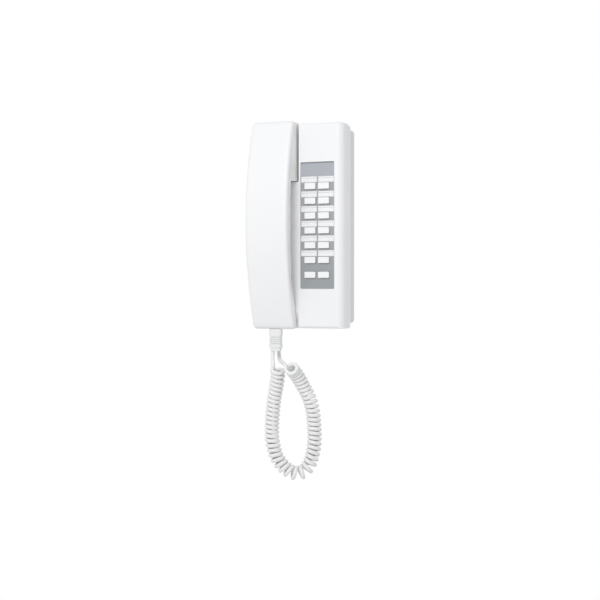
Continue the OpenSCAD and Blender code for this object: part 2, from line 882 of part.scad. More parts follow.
module terminal_screws() {
    seat = floor_front + terminal_t - terminal_screw_t;
    color("gold")
        for (i = [0:terminal_ways - 1])
            peg(terminal_way_x(i), terminal_z, seat, seat + 2 * terminal_screw_t, terminal_screw_d);
}

// A small loudspeaker behind the slots under the grip
module call_speaker() {
    rim_t = 3;
    magnet_d = speaker_d * 0.55;
    magnet_t = 6;
    color("dimgray")
        translate([handset_x, -(front_depth - wall - speaker_t), 0])
            rotate([90, 0, 0])
                rotate_extrude()
                    polygon([
                        [0, 0],
                        [magnet_d / 2, 0],
                        [magnet_d / 2, magnet_t],
                        [speaker_d / 2 - rim_t, speaker_t - rim_t],
                        [speaker_d / 2, speaker_t - rim_t],
                        [speaker_d / 2, speaker_t],
                        [speaker_d / 2 - rim_t, speaker_t],
                        [magnet_d / 4, speaker_t - rim_t],
                        [0, speaker_t - rim_t]
                    ]);
}

module hook_plunger() {
    color("gainsboro")
        translate([handset_x, 0, hook_z]) {
            peg(0, 0, hook_flange_back, hook_tip, hook_d);
            peg(0, 0, hook_flange_back, hook_flange_front, hook_flange_d);
            peg(0, 0, hook_tail_back, hook_flange_back, hook_tail_d);
            block(0, hook_arm_l, hook_flange_back, hook_flange_front, -hook_arm_w / 2, hook_arm_w / 2);
        }
}

// The return spring between the rear case's guide and the plunger's flange
module hook_spring() {
    bottom = hook_guide_front + spring_wire / 2 + fit / 2;
    top = hook_flange_back - spring_wire / 2 - fit / 2;
    r = (spring_d - spring_wire) / 2;
    steps = spring_turns * curl_rings;
    path = [for (k = [0:steps])
        let (a = 360 * k / curl_rings)
        [handset_x + r * cos(a), -mix(bottom, top, k / steps), hook_z + r * sin(a)]];
    color("silver")
        tube(path, spring_wire, curl_sides);
}

// The switch beside the plunger, worked by the plunger's arm
module hook_switch() {
    switch_x = handset_x + hook_flange_d / 2 + cut;
    switch_wide = 6.4;
    switch_long = 19.8;
    button_w = 2.4;
    body_front = hook_flange_back - 3;
    color("dimgray") {
        block(switch_x, switch_x + switch_wide, floor_front, body_front,
            hook_z - switch_long / 2, hook_z + switch_long / 2);
        block(switch_x + cut, switch_x + cut + button_w, body_front - cut, hook_flange_back - fit,
            hook_z - button_w / 2, hook_z + button_w / 2);
    }
}

module cover_screws() {
    color("silver")
        for (sx = [-1, 1], sz = [-1, 1])
            screw(sx * post_x, sz * post_z, back_hollow, case_wall + screw_grip);
}

module board_screws() {
    color("silver")
        for (x = [board_x0 + board_post_in, board_x1 - board_post_in], sz = [-1, 1])
            screw(x, sz * board_post_z, board_back, board_t + screw_grip / 2);
}

// Sizes of the bush that the cord leaves the base through
bush_neck_d = 7;
bush_flange_d = 9.6;
bush_flange_t = 1.5;
bush_nose_d = 5.4;

module cord_bush() {
    color("gainsboro")
        translate([bush_x, -bush_depth, -case_h / 2]) {
            translate([0, 0, case_wall])
                cylinder(h = bush_flange_t, d = bush_flange_d);
            cylinder(h = case_wall, d = bush_neck_d);
            translate([0, 0, -cut])
                cylinder(h = cut, d = bush_flange_d - cut);
            translate([0, 0, -bush_nose])
                cylinder(h = bush_nose - cut, d1 = bush_nose_d, d2 = bush_neck_d);
        }
}

// The handset's outside, or with an inset the space inside its shells
module handset_form(inset) {
    bottom = handset_bottom + inset;
    top = handset_top - inset;
    step_top = mouth_z + mouth_blend;
    quarter = [0:30:90];
    r = max(handset_end_r - inset, 0.4);
    loft(concat(
        [for (a = quarter) grip_slice(bottom + r * (1 - cos(a)), inset + r * (1 - sin(a)))],
        [for (z = heights(bottom + 2 * handset_end_r, mouth_z, 4)) grip_slice(z, inset)],
        [for (z = heights(mouth_z, step_top, 4)) if (z > mouth_z) grip_slice(z, inset)],
        [for (z = heights(step_top, ear_low + inset, 7)) if (z > step_top) grip_slice(z, inset)]
    ));
    loft(concat(
        [for (z = heights(ear_low + inset, ear_low + inset + ear_bevel, 1)) ear_slice(z, inset)],
        [for (z = heights(ear_low + 3 * ear_bevel, top - r, 5)) ear_slice(z, inset)],
        [for (a = quarter) if (a > 0) ear_slice(top - r * (1 - sin(a)), inset + r * (1 - cos(a)))]
    ));
}

// All that lies in front of the parting line between the handset's shells
module front_side(back_off) {
    far = bow_depth + base_w;
    across(-base_w, base_w)
        polygon(concat(
            [for (z = heights(-handset_l, handset_l, 48)) [bow(z) - split_t - back_off, z]],
            [[far, handset_l], [far, -handset_l]]
        ));
}

// Places of the two screws that hold the handset's shells together
handset_screw_z = [ledge_z - 20.5, mouth_z - 14];
handset_post_d = 6;
handset_seat = 2;
shell_gap = 0.1;
shell_fn = 16;
function crest(z) = max(bow(z - handset_post_d / 2), bow(z + handset_post_d / 2));
function seam(z) = min(rear(z) + handset_wall + handset_seat, crest(z) - split_t);

module handset_front_shell() {
    $fn = shell_fn;
    color("white")
        difference() {
            union() {
                intersection() {
                    difference() {
                        handset_form(0);
                        handset_form(handset_wall);
                    }
                    front_side(0);
                }
                for (z = handset_screw_z)
                    peg(handset_x, z, seam(z) + shell_gap, bow(z) - handset_wall / 2, handset_post_d);
                peg(handset_x, ear_z, ear_back, bow(ear_z) - handset_wall / 2, handset_post_d);
            }
            for (z = handset_screw_z)
                peg(handset_x, z, rear(z), bow(z) - 1.5 * handset_wall, screw_bite_d);
            boot_hole();
        }
}

module handset_rear_shell() {
    $fn = shell_fn;
    color("white")
        difference() {
            union() {
                difference() {
                    handset_form(0);
                    handset_form(handset_wall);
                }
                for (z = handset_screw_z)
                    peg(handset_x, z, rear(z) + cut, seam(z), handset_post_d + handset_seat);
            }
            front_side(shell_gap);
            for (z = handset_screw_z) {
                peg(handset_x, z, rear(z) - 2 * cut, rear(z) + handset_seat, screw_head_d + 2 * fit);
                peg(handset_x, z, rear(z), bow(z), screw_pass_d);
            }
            ear_grille();
            for (i = [-1:1])
                peg(handset_x + 3 * i, mic_z, rear(mic_z) - 2 * cut, rear(mic_z) + handset_wall + cut, 1.6);
            boot_hole();
        }
}

// The shallow dish and the sound holes of the earpiece
module ear_grille() {
    dish = handset_wall / 2;
    hole_d = 2.2;
    ring_step = 5.5;
    translate([handset_x, -ear_depth, ear_z])
        rotate([90, 0, 0])
            cylinder(h = dish, d1 = ear_d, d2 = ear_d - 6);
    translate([handset_x, -ear_depth + cut, ear_z])
        rotate([90, 0, 0])
            cylinder(h = cut + 0.01, d = ear_d);
    for (ring = [0:2], k = [0:max(6 * ring - 1, 0)])
        let (a = ring == 0 ? 0 : 60 * k / ring)
        peg(handset_x + ring * ring_step * cos(a), ear_z + ring * ring_step * sin(a),
            ear_depth, ear_depth + handset_wall + cut, hole_d);
}

// Depths of the earpiece, from the rear shell's inner face
ear_ring_t = 1;
ear_front = ear_depth + handset_wall;
ear_rim_t = 3;
ear_can_t = 6;
ear_back = ear_front + ear_ring_t + ear_rim_t + ear_can_t;

module earpiece_capsule() {
    color("dimgray") {
        peg(handset_x, ear_z, ear_front + ear_ring_t, ear_front + ear_ring_t + ear_rim_t, ear_d - 2 * fit);
        peg(handset_x, ear_z, ear_front + ear_ring_t + ear_rim_t, ear_back, ear_d * 0.7);
    }
}

module earpiece_ring() {
    color("black")
        difference() {
            peg(handset_x, ear_z, ear_front, ear_front + ear_ring_t, ear_d - 2 * fit);
            peg(handset_x, ear_z, ear_front - cut, ear_front + ear_ring_t + cut, ear_d - 8);
        }
}

// Depths of the microphone, clear of the sloping walls on both sides
mic_back = mouth_back(mic_z + mic_holder_d / 2) + handset_wall / cos(ramp_angle) + fit;
mic_front = bow(mic_z - mic_holder_d / 2) - handset_wall - 2 * fit;

module microphone_holder() {
    color("black")
        difference() {
            peg(handset_x, mic_z, mic_back, mic_front, mic_holder_d);
            peg(handset_x, mic_z, mic_back - cut, mic_front - 1, mic_d);
        }
}

module microphone_capsule() {
    color("silver")
        peg(handset_x, mic_z, mic_back + fit, mic_front - 1, mic_d - 0.1);
}

module handset_screws() {
    color("silver")
        for (z = handset_screw_z)
            screw(handset_x, z, rear(z) + handset_seat, bow(z) - rear(z) - handset_seat - 2 * handset_wall);
}

// Sizes of the boot's neck, which passes through the handset's end
boot_neck_d = 5;
boot_flange_w = 11;
boot_flange_d = 5.4;

module boot_hole() {
    translate([boot_x, -boot_depth, handset_bottom - cut])
        cylinder(h = handset_wall + 2 * cut, d = boot_neck_d + fit);
}

// The ribbed boot on the handset's lower end
module cord_boot() {
    corner_r = 3;
    nose_l = 4;
    rib_count = 4;
    rib_pitch = 2.4;
    rib_gap = 1.2;
    rib_dip = 1.1;
    rib_top = -8.5;
    color("gainsboro")
        translate([boot_x, -boot_depth, handset_bottom]) {
            difference() {
                translate([0, 0, nose_l - boot_l])
                    linear_extrude(boot_l - nose_l)
                        rounded(boot_w, boot_t, corner_r);
                for (i = [0:rib_count - 1])
                    translate([0, 0, rib_top - i * rib_pitch - rib_gap])
                        linear_extrude(rib_gap)
                            difference() {
                                square([boot_w + cut, boot_t + cut], center = true);
                                rounded(boot_w - 2 * rib_dip, boot_t - 2 * rib_dip, corner_r - rib_dip);
                            }
            }
            translate([0, 0, -boot_l])
                linear_extrude(nose_l)
                    rounded(boot_w - 2.4, boot_t - 1.2, corner_r - 0.4);
            cylinder(h = handset_wall + fit, d = boot_neck_d);
            translate([-boot_flange_w / 2, -boot_flange_d / 2, handset_wall + fit])
                cube([boot_flange_w, boot_flange_d, 1.6]);
        }
}

module handset_lead() {
    color("white")
        tube(lead_path(handset_lead_route), cord_d, lead_sides);
}

module base_lead() {
    color("white")
        tube(lead_path(base_lead_route), cord_d, lead_sides);
}

module curly_cord() {
    path = curl_path();
    gap = least_gap(path, curl_rings - 2);
    echo(least_gap_between_curls = gap);
    color("white")
        tube(path, cord_d, curl_sides);
}

front_cover();
rear_case();
wall_bracket();
key_panel();
name_labels();
label_windows();
main_board();
key_switches();
board_parts();
terminal_block();
terminal_screws();
call_speaker();
hook_plunger();
hook_spring();
hook_switch();
cover_screws();
board_screws();
cord_bush();
handset_front_shell();
handset_rear_shell();
earpiece_capsule();
earpiece_ring();
microphone_capsule();
microphone_holder();
handset_screws();
cord_boot();
handset_lead();
curly_cord();
base_lead();
for (i = [0:key_count - 1])
    key(i);
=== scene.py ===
import json
import math

import bmesh
import bpy
import numpy as np
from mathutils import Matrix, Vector


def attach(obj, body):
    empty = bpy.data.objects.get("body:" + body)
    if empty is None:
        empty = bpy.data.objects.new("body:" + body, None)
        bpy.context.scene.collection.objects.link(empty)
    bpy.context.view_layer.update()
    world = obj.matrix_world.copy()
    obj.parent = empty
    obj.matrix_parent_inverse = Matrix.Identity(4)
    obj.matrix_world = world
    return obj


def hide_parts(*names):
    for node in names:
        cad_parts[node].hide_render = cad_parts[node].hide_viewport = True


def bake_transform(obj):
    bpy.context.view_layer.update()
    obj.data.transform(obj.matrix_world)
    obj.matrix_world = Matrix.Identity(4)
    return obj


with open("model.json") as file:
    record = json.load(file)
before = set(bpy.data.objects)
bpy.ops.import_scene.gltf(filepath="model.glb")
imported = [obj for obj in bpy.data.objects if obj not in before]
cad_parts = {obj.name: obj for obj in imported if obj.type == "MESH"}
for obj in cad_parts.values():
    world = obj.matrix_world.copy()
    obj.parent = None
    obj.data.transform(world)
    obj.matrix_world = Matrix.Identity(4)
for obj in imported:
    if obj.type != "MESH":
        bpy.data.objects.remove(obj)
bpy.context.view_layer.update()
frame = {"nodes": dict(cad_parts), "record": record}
nodes = frame["nodes"]
scene = bpy.context.scene
scene.view_settings.view_transform = "Standard"
MM = 0.001

# Height of the first label's rule, the spacing of the key rows, and the rule's width, in millimetres
LABEL_RULE_Z, KEY_PITCH_Z, LABEL_RULE_W = 52.3, 16.2, 0.5


# Camera: all but level, to the right of the station, with its focal length in pixels of the square frame
FOCAL_PX, FRAME_PX, SENSOR_MM = 1233.0, 600.0, 36.0
camera_data = bpy.data.cameras.new("camera")
camera_data.sensor_width = SENSOR_MM
camera_data.lens = FOCAL_PX / FRAME_PX * SENSOR_MM
camera_data.clip_end = 50.0
camera = bpy.data.objects.new("camera", camera_data)
scene.collection.objects.link(camera)
azimuth, elevation, distance = math.radians(23.0), math.radians(0.79), 1.401
target = Vector((-0.0176, 0.0, -0.0820))
camera.location = target + distance * Vector((
    math.sin(azimuth) * math.cos(elevation),
    -math.cos(azimuth) * math.cos(elevation),
    math.sin(elevation),
))
camera.rotation_euler = (target - camera.location).to_track_quat("-Z", "Y").to_euler()
scene.camera = camera


# Light: an even white surround and one soft lamp in front, a little above
WHITE = (1.0, 1.0, 1.0, 1.0)
AMBIENT_COLOUR, AMBIENT_LEVEL = (0.98, 0.985, 1.0, 1.0), 0.69


def white_to_camera(tree, plain):
    """Mix a plain shader with one, linked later, that the camera, reflections and clear plastic see."""
    path = tree.nodes.new("ShaderNodeLightPath")
    seen = tree.nodes.new("ShaderNodeMath")
    seen.operation = "MAXIMUM"
    tree.links.new(path.outputs["Is Camera Ray"], seen.inputs[0])
    tree.links.new(path.outputs["Is Glossy Ray"], seen.inputs[1])
    both = tree.nodes.new("ShaderNodeMath")
    both.operation = "MAXIMUM"
    tree.links.new(seen.outputs[0], both.inputs[0])
    tree.links.new(path.outputs["Is Transmission Ray"], both.inputs[1])
    mix = tree.nodes.new("ShaderNodeMixShader")
    tree.links.new(both.outputs[0], mix.inputs[0])
    tree.links.new(plain.outputs[0], mix.inputs[1])
    return mix


world = bpy.data.worlds.new("surround")
scene.world = world
world.use_nodes = True
tree = world.node_tree
tree.nodes.clear()
ambient = tree.nodes.new("ShaderNodeBackground")
ambient.inputs["Color"].default_value = AMBIENT_COLOUR
ambient.inputs["Strength"].default_value = AMBIENT_LEVEL
bright = tree.nodes.new("ShaderNodeBackground")
bright.inputs["Color"].default_value = WHITE
bright.inputs["Strength"].default_value = 1.0
mix = white_to_camera(tree, ambient)
tree.links.new(bright.outputs[0], mix.inputs[2])
out = tree.nodes.new("ShaderNodeOutputWorld")
tree.links.new(mix.outputs[0], out.inputs["Surface"])


def lamp(name, place, aim, size, power):
    data = bpy.data.lights.new(name, "AREA")
    data.shape = "DISK"
    data.size = size
    data.energy = power
    obj = bpy.data.objects.new(name, data)
    obj.location = place
    obj.rotation_euler = (Vector(aim) - Vector(place)).to_track_quat("-Z", "Y").to_euler()
    scene.collection.objects.link(obj)


lamp("key_lamp", place=(0.05, -1.35, 0.55), aim=(0.0, 0.0, 0.0), size=0.8, power=8.0)


# Materials, all drawn by nodes in the part's own coordinates
def plastic(name, low, high, rough=(0.4, 0.5), grain=2600.0, bump=0.06, metallic=0.0, patch=14.0):
    """A moulded surface: a slow drift of colour, and a fine grain in its bump and its roughness."""
    mat = bpy.data.materials.new(name)
    mat.use_nodes = True
    tree = mat.node_tree
    bsdf = tree.nodes["Principled BSDF"]
    bsdf.inputs["Metallic"].default_value = metallic
    coords = tree.nodes.new("ShaderNodeTexCoord")
    drift = tree.nodes.new("ShaderNodeTexNoise")
    drift.inputs["Scale"].default_value = patch
    drift.inputs["Detail"].default_value = 4.0
    tree.links.new(coords.outputs["Object"], drift.inputs["Vector"])
    ramp = tree.nodes.new("ShaderNodeValToRGB")
    ramp.color_ramp.elements[0].position = 0.3
    ramp.color_ramp.elements[0].color = (*low, 1.0)
    ramp.color_ramp.elements[1].position = 0.7
    ramp.color_ramp.elements[1].color = (*high, 1.0)
    tree.links.new(drift.outputs["Fac"], ramp.inputs["Fac"])
    tree.links.new(ramp.outputs["Color"], bsdf.inputs["Base Color"])
    fine = tree.nodes.new("ShaderNodeTexNoise")
    fine.inputs["Scale"].default_value = grain
    fine.inputs["Detail"].default_value = 2.0
    tree.links.new(coords.outputs["Object"], fine.inputs["Vector"])
    spread = tree.nodes.new("ShaderNodeMapRange")
    spread.inputs["To Min"].default_value = rough[0]
    spread.inputs["To Max"].default_value = rough[1]
    tree.links.new(fine.outputs["Fac"], spread.inputs["Value"])
    tree.links.new(spread.outputs["Result"], bsdf.inputs["Roughness"])
    relief = tree.nodes.new("ShaderNodeBump")
    relief.inputs["Strength"].default_value = bump
    relief.inputs["Distance"].default_value = 0.0001
    tree.links.new(fine.outputs["Fac"], relief.inputs["Height"])
    tree.links.new(relief.outputs["Normal"], bsdf.inputs["Normal"])
    return mat


def clear_plastic(name):
    mat = plastic(name, (0.95, 0.96, 0.97), (0.99, 0.99, 1.0), rough=(0.06, 0.12), grain=900.0, bump=0.02)
    bsdf = mat.node_tree.nodes["Principled BSDF"]
    bsdf.inputs["Alpha"].default_value = 0.12
    bsdf.inputs["IOR"].default_value = 1.49
    return mat


def panel_print_and_painted_shadow(name, stops):
    """A panel whose grey changes slowly up its height, between stops of (height in mm, colour), which carry
    print and painted shadow.
    """
    mat = plastic(name, stops[0][1], stops[-1][1], rough=(0.38, 0.5), grain=4000.0)
    tree = mat.node_tree
    bsdf = tree.nodes["Principled BSDF"]
    coords = tree.nodes.new("ShaderNodeTexCoord")
    split = tree.nodes.new("ShaderNodeSeparateXYZ")
    tree.links.new(coords.outputs["Object"], split.inputs[0])
    height = tree.nodes.new("ShaderNodeMapRange")
    height.inputs["From Min"].default_value = stops[0][0] * MM
    height.inputs["From Max"].default_value = stops[-1][0] * MM
    tree.links.new(split.outputs["Z"], height.inputs["Value"])
    ramp = tree.nodes.new("ShaderNodeValToRGB")
    reach = stops[-1][0] - stops[0][0]
    while len(ramp.color_ramp.elements) < len(stops):
        ramp.color_ramp.elements.new(0.5)
    for element, (z, colour) in zip(ramp.color_ramp.elements, stops):
        element.position = (z - stops[0][0]) / reach
        element.color = (*colour, 1.0)
    tree.links.new(height.outputs["Result"], ramp.inputs["Fac"])
    tree.links.new(ramp.outputs["Color"], bsdf.inputs["Base Color"])
    return mat


def ruled_card(name, low, high, line, first, pitch, width):
    """White card with a thin grey rule on each label, the rules being a pitch apart in height (mm)."""
    mat = plastic(name, low, high, rough=(0.7, 0.85), grain=5000.0, bump=0.1)
    tree = mat.node_tree
    bsdf = tree.nodes["Principled BSDF"]
    card = bsdf.inputs["Base Color"].links[0].from_socket
    coords = tree.nodes.new("ShaderNodeTexCoord")
    split = tree.nodes.new("ShaderNodeSeparateXYZ")
    tree.links.new(coords.outputs["Object"], split.inputs[0])
    shifted = tree.nodes.new("ShaderNodeMath")
    shifted.operation = "SUBTRACT"
    shifted.inputs[1].default_value = first * MM
    tree.links.new(split.outputs["Z"], shifted.inputs[0])
    away = tree.nodes.new("ShaderNodeMath")
    away.operation = "PINGPONG"
    away.inputs[1].default_value = pitch / 2 * MM
    tree.links.new(shifted.outputs[0], away.inputs[0])
    near = tree.nodes.new("ShaderNodeMath")
    near.operation = "LESS_THAN"
    near.inputs[1].default_value = width / 2 * MM
    tree.links.new(away.outputs[0], near.inputs[0])
    mix = tree.nodes.new("ShaderNodeMix")
    mix.data_type = "RGBA"
    tree.links.new(near.outputs[0], mix.inputs["Factor"])
    tree.links.new(card, mix.inputs[6])
    mix.inputs[7].default_value = (*line, 1.0)
    tree.links.new(mix.outputs[2], bsdf.inputs["Base Color"])
    return mat


looks = {
    "white_plastic": plastic("white_abs", (0.865, 0.87, 0.875), (0.895, 0.895, 0.895)),
    "key_plastic": plastic("key_abs", (0.89, 0.89, 0.90), (0.92, 0.92, 0.92), rough=(0.28, 0.36), bump=0.03),
    "grey_panel": panel_print_and_painted_shadow("panel_grey", [
        # Darker towards the bottom, then a bluish header band from 56 to 68.2 mm
        (-70.0, (0.305, 0.335, 0.345)), (-20.0, (0.355, 0.36, 0.37)), (48.0, (0.37, 0.375, 0.39)),
        (56.0, (0.405, 0.42, 0.46)), (68.2, (0.405, 0.42, 0.46)),
        # Painted shadow: the dark band along the panel's top edge, under the rim of the cover's opening
        (68.7, (0.20, 0.21, 0.23)), (70.0, (0.20, 0.21, 0.23)),
    ]),
    "label_card": ruled_card("card_white", (0.90, 0.91, 0.92), (0.93, 0.935, 0.94), line=(0.6, 0.6, 0.62),
                             first=LABEL_RULE_Z, pitch=KEY_PITCH_Z, width=LABEL_RULE_W),
    "clear_window": clear_plastic("window_clear"),
    "circuit_board": plastic("board_green", (0.02, 0.10, 0.045), (0.03, 0.15, 0.06),
                             rough=(0.3, 0.4), patch=160.0),
    "dark_plastic": plastic("moulded_black", (0.012, 0.012, 0.014), (0.02, 0.02, 0.022), rough=(0.4, 0.55)),
    "speaker_steel": plastic("basket_dark", (0.03, 0.03, 0.032), (0.05, 0.05, 0.052), rough=(0.35, 0.5)),
    "steel": plastic("zinc_steel", (0.42, 0.43, 0.45), (0.56, 0.57, 0.58),
                     rough=(0.28, 0.42), metallic=1.0, patch=90.0),
    "brass": plastic("turned_brass", (0.52, 0.36, 0.12), (0.62, 0.45, 0.18),
                     rough=(0.25, 0.35), metallic=1.0),
    "aluminium": plastic("drawn_can", (0.55, 0.56, 0.57), (0.65, 0.66, 0.67), rough=(0.3, 0.4), metallic=1.0),
    "foam": plastic("black_foam", (0.008, 0.008, 0.008), (0.016, 0.016, 0.016),
                    rough=(0.8, 0.95), grain=1500.0, bump=0.4),
    "cord_rubber": plastic("white_rubber", (0.80, 0.805, 0.80), (0.84, 0.84, 0.835),
                           rough=(0.5, 0.62), grain=3000.0),
    "cord_jacket": plastic("white_pvc", (0.84, 0.84, 0.84), (0.88, 0.88, 0.88),
                           rough=(0.36, 0.46), grain=3500.0, bump=0.03),
}
# The rear case: a greyer copy of the white plastic, painted shade on its sides
case_white_painted_shade = plastic("case_abs_painted_shade", (0.81, 0.815, 0.82), (0.84, 0.84, 0.84))
# The handset's rear shell: a lighter copy of the white plastic, painted light on the handset's back and sides
shell_white_painted_light = plastic("shell_abs_painted_light", (0.925, 0.92, 0.905), (0.945, 0.94, 0.93))
for part in frame["record"]["subparts"]:
    obj = nodes[part["node"]]
    obj.data.materials.clear()
    obj.data.materials.append(looks[part["material_slot"]])
nodes["rear_case"].data.materials[0] = case_white_painted_shade


def new_mesh(name, verts, faces, mat, angle):
    """A smooth mesh from points in metres, with edges over the angle, where one is given, kept sharp."""
    data = bpy.data.meshes.new(name)
    data.from_pydata([tuple(v) for v in verts], [], faces)
    data.validate()
    data.shade_smooth()
    if angle is not None:
        data.set_sharp_from_angle(angle=math.radians(angle))
    data.materials.append(mat)
    obj = bpy.data.objects.new(name, data)
    scene.collection.objects.link(obj)
    return obj


# The handset's shells: the same sections as the solids, drawn finer, and parted along the same line
HANDSET_X, HANDSET_W = -29.5, 50.0
TOP, BOTTOM = 115.0, -113.5
FRONT_DEPTH, RAMP_Z, RAMP_ANGLE = 40.0, -94.5, math.radians(17.5)
BOW_R, BOW_Z, BOW_DEPTH = 340.0, 4.0, 68.5
TAPER = 0.5
GRIP_REAR, SLAB_T = 55.5, 12.0
FRONT_R, REAR_R, END_R = 3.5, 3.0, 4.0
SHELL, SPLIT_T, SPLIT_GAP = 2.2, 8.0, 0.1
MOUTH_Z, MOUTH_BLEND, MOUTH_GAP = -58.0, 11.0, 1.2
EAR_DEPTH, EAR_LOW, EAR_BEVEL, EAR_Z, EAR_D = 27.0, 49.3, 2.0, 83.0, 35.0
MIC_Z, SCREW_Z = -92.0, (28.0, -72.0)
BOOT_X, BOOT_FLANGE_Z, BOOT_HOLE_D = -28.7, -111.0, 5.3
EAR_DISH_OUT, EAR_DISH_IN = 2.7, 3.0
EAR_HOLE_R, EAR_HOLE_PITCH, EAR_HOLES_A_RING = 1.1, 5.5, 6
MIC_HOLE_R, MIC_HOLE_PITCH = 0.8, 3.0
SCREW_SINK_R, SCREW_SINK = 3.0, 2.0

# How finely the shells are drawn, and how far a cutter reaches past what it cuts
LEAST_R, FLAT_IN = 0.4, 0.6
CORNER_POINTS, BEVEL_POINTS, PARTING_POINTS = 8, 6, 121
RING_PITCH, BLEND_PITCH = 4.0, 1.0
DISH_SIDES, EAR_HOLE_SIDES, MIC_HOLE_SIDES, SCREW_SIDES, BOOT_HOLE_SIDES = 64, 16, 12, 28, 24
SHELL_ANGLE, PAST = 32.0, 1.0
FAR_Z, FAR_DEPTH, FAR_LEFT, FAR_RIGHT = 150.0, 120.0, -120.0, 80.0


def smooth(t):
    c = min(max(t, 0.0), 1.0)
    return c * c * (3 - 2 * c)


def bow(z):
    return BOW_DEPTH - BOW_R + math.sqrt(BOW_R ** 2 - (z - BOW_Z) ** 2)


def rear(z):
    mouth = FRONT_DEPTH - (RAMP_Z - z) * math.tan(RAMP_ANGLE) + MOUTH_GAP
    grip = min(GRIP_REAR, bow(z) - SLAB_T)
    return mouth + (grip - mouth) * smooth((z - MOUTH_Z) / MOUTH_BLEND)


def outline(z, inset, back):
    """The handset's outline at one height, drawn in on all sides by inset, with its rear at a given depth."""
    end = TOP - BOW_Z if z > BOW_Z else BOW_Z - BOTTOM
    h = HANDSET_W / 2 - TAPER * ((z - BOW_Z) / end) ** 2 - inset
    f, b = bow(z) - inset, back + inset
    ring = []
    for corner in range(4):
        front = corner < 2
        r = max((FRONT_R if front else REAR_R) - inset, LEAST_R)
        side = 1 if corner in (0, 3) else -1
        cx, cd = side * (h - r), f - r if front else b + r
        first, final = math.radians(90 * corner), math.radians(90 * corner + 90)
        arc = [(cx + r * math.cos(a), cd + r * math.sin(a)) for a in np.linspace(first, final, CORNER_POINTS)]
        if front:
            flat = (side * (h - r - FLAT_IN), f)
            arc = arc + [flat] if corner == 0 else [flat] + arc
        ring += [(HANDSET_X + x, -d, z) for x, d in arc]
    return ring


def steps(z0, z1, pitch):
    """Even steps from just above z0 up to z1, none longer than the pitch."""
    n = max(int(math.ceil((z1 - z0) / pitch)), 1)
    return [z0 + (z1 - z0) * i / n for i in range(1, n + 1)]


def handset_rings(inset):
    """The handset's outlines from its lower end to its upper end, drawn in by inset."""
    bottom, top, low = BOTTOM + inset, TOP - inset, EAR_LOW + inset
    r = max(END_R - inset, LEAST_R)
    quarter = np.radians(np.linspace(0, 90, CORNER_POINTS))
    rings = []
    for a in quarter:
        z, draw = bottom + r * (1 - math.cos(a)), inset + r * (1 - math.sin(a))
        rings.append(outline(z, draw, rear(z)))
    heights = steps(bottom + r, MOUTH_Z, RING_PITCH)
    heights += steps(MOUTH_Z, MOUTH_Z + MOUTH_BLEND, BLEND_PITCH)
    heights += steps(MOUTH_Z + MOUTH_BLEND, low, RING_PITCH)
    for z in heights:
        rings.append(outline(z, inset, rear(z)))
    for a in np.radians(np.linspace(0, 90, BEVEL_POINTS)):
        z, back = low + EAR_BEVEL * (1 - math.cos(a)), EAR_DEPTH + EAR_BEVEL * (1 - math.sin(a))
        rings.append(outline(z, inset, back))
    for z in steps(low + EAR_BEVEL, top - r, RING_PITCH):
        rings.append(outline(z, inset, EAR_DEPTH))
    for a in quarter[1:]:
        rings.append(outline(top - r * (1 - math.sin(a)), inset + r * (1 - math.cos(a)), EAR_DEPTH))
    return rings


def solid(name, verts, faces, mat):
    """A closed mesh from points in millimetres, with doubled points joined."""
    data = bpy.data.meshes.new(name)
    bm = bmesh.new()
    points = [bm.verts.new(Vector(v) * MM) for v in verts]
    for face in faces:
        bm.faces.new([points[i] for i in face])
    bmesh.ops.remove_doubles(bm, verts=bm.verts, dist=1e-7)
    bmesh.ops.recalc_face_normals(bm, faces=bm.faces)
    bm.to_mesh(data)
    bm.free()
    data.materials.append(mat)
    obj = bpy.data.objects.new(name, data)
    scene.collection.objects.link(obj)
    return obj


def loft(name, rings, mat):
    """A closed skin over a stack of rings with equal counts of points."""
    n = len(rings[0])
    faces = []
    for i in range(len(rings) - 1):
        for k in range(n):
            m = (k + 1) % n
            faces.append((i * n + k, i * n + m, (i + 1) * n + m, (i + 1) * n + k))
    faces.append(tuple(range(n)))
    faces.append(tuple((len(rings) - 1) * n + k for k in range(n)))
    return solid(name, [v for ring in rings for v in ring], faces, mat)


def prism(name, section, x0, x1, mat):
    """A section of (depth, height) points drawn out along X."""
    n = len(section)
    verts = [(x, -d, z) for x in (x0, x1) for d, z in section]
    faces = [tuple(range(n)), tuple(range(n, 2 * n))]
    faces += [(k, (k + 1) % n, n + (k + 1) % n, n + k) for k in range(n)]
    return solid(name, verts, faces, mat)


def bar(name, x, z, d0, d1, r0, r1, mat, sides):
    """A round or tapered bar along the depth."""
    ring = [2 * math.pi * k / sides for k in range(sides)]
    ends = ((d0, r0), (d1, r1))
    rings = [[(x + r * math.cos(a), -d, z + r * math.sin(a)) for a in ring] for d, r in ends]
    return loft(name, rings, mat)


def combine(obj, tool, operation):
    """Cut a tool out of an object, or keep what the two share, and delete the tool."""
    cutter = obj.modifiers.new("combine", "BOOLEAN")
    cutter.operation = operation
    cutter.solver = "MANIFOLD"
    cutter.object = tool
    bpy.context.view_layer.update()
    result = bpy.data.meshes.new_from_object(obj.evaluated_get(bpy.context.evaluated_depsgraph_get()))
    obj.modifiers.clear()
    old = obj.data
    obj.data = result
    bpy.data.meshes.remove(old)
    bpy.data.objects.remove(tool)


def front_side(name, back_off, mat):
    """All that lies in front of the line where the shells part, or of one a little behind it."""
    line = [(bow(z) - SPLIT_T - back_off, z) for z in np.linspace(-FAR_Z, FAR_Z, PARTING_POINTS)]
    return prism(name, line + [(FAR_DEPTH, FAR_Z), (FAR_DEPTH, -FAR_Z)], FAR_LEFT, FAR_RIGHT, mat)


